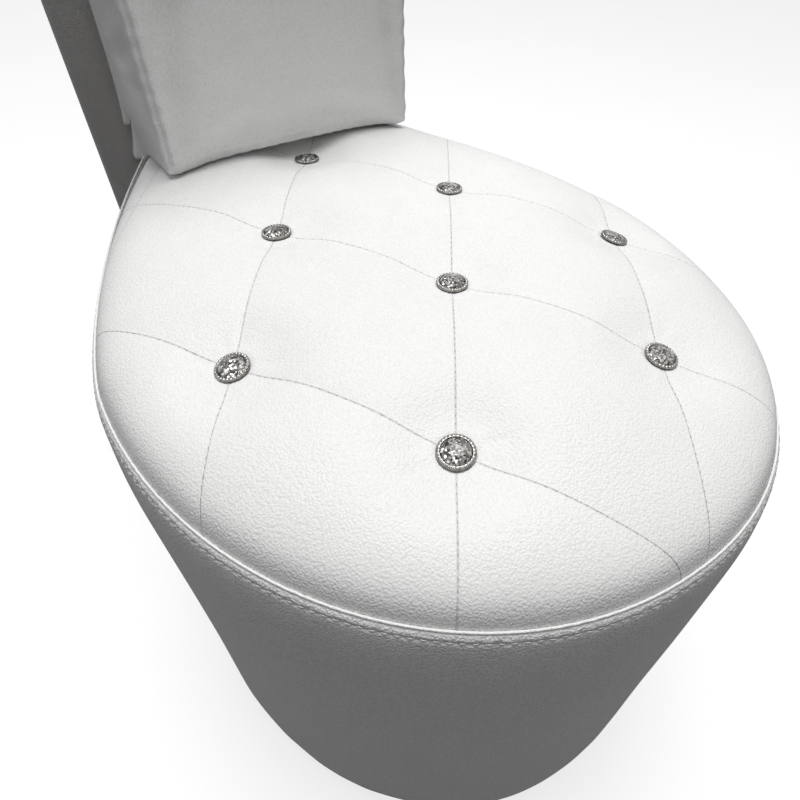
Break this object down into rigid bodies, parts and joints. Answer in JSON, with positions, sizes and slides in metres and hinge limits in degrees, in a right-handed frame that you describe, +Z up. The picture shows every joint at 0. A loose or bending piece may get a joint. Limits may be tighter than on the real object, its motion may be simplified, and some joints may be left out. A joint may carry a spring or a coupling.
{
  "type": "pedicure spa chair",
  "caption": "Armless pedicure chair: egg-shaped button-tufted vinyl seat on a padded drum, tall boxed back and a loose back cushion.",
  "frame": {"origin": "on the floor, under the middle of the chair's bounding box", "axes": "+Z up, the sitter faces -Y, +X to the right as seen from the front"},
  "size_m": [0.5326, 0.8433, 1.09],
  "materials": {
    "vinyl_white": "fine pebble-grain faux leather, satin",
    "vinyl_grey": "fine pebble-grain faux leather, satin, dark grey",
    "plywood": "raw birch plywood",
    "softwood": "planed pine",
    "plinth_black": "black stained",
    "foam": "open-cell upholstery foam",
    "zinc_steel": "zinc plated",
    "bezel_metal": "bright silver-coloured metal",
    "crystal": "clear cut crystal",
    "nylon": "moulded nylon",
    "twine": "waxed nylon twine"
  },
  "bodies": {
    "chair": {"seat_pad": "vinyl_white", "seat_welt": "vinyl_white", "side_band": "vinyl_white", "back_pad": "vinyl_white", "back_welt": "vinyl_white", "back_cover": "vinyl_grey", "rear_panel": "vinyl_grey", "base_board": "plywood", "drum_wall": "plywood", "tail_board": "plywood", "seat_deck": "plywood", "seat_board": "plywood", "front_board": "plywood", "back_liner": "plywood", "drum_posts": "softwood", "back_posts": "softwood", "back_rails": "softwood", "plinth": "plinth_black", "seat_core": "foam", "band_foam": "foam", "glide_nails": "zinc_steel", "base_screws": "zinc_steel", "deck_screws": "zinc_steel", "seat_bolts": "zinc_steel", "seat_washers": "zinc_steel", "tee_nuts": "zinc_steel", "tail_bolts": "zinc_steel", "tail_washers": "zinc_steel", "tail_nuts": "zinc_steel", "rail_screws": "zinc_steel", "button_bezels": "bezel_metal", "back_bezels": "bezel_metal", "button_crystals": "crystal", "back_crystals": "crystal", "glides": "nylon", "tuft_anchors": "nylon", "back_anchors": "nylon", "tuft_twines": "twine", "back_twines": "twine"},
    "cushion": {"back_cushion": "vinyl_white"}
  },
  "joints": [
    {"name": "cushion_lift", "type": "slide", "parent": "chair", "child": "cushion", "axis": [0, 0, 1], "range_m": [0, 0.3]}
  ]
}
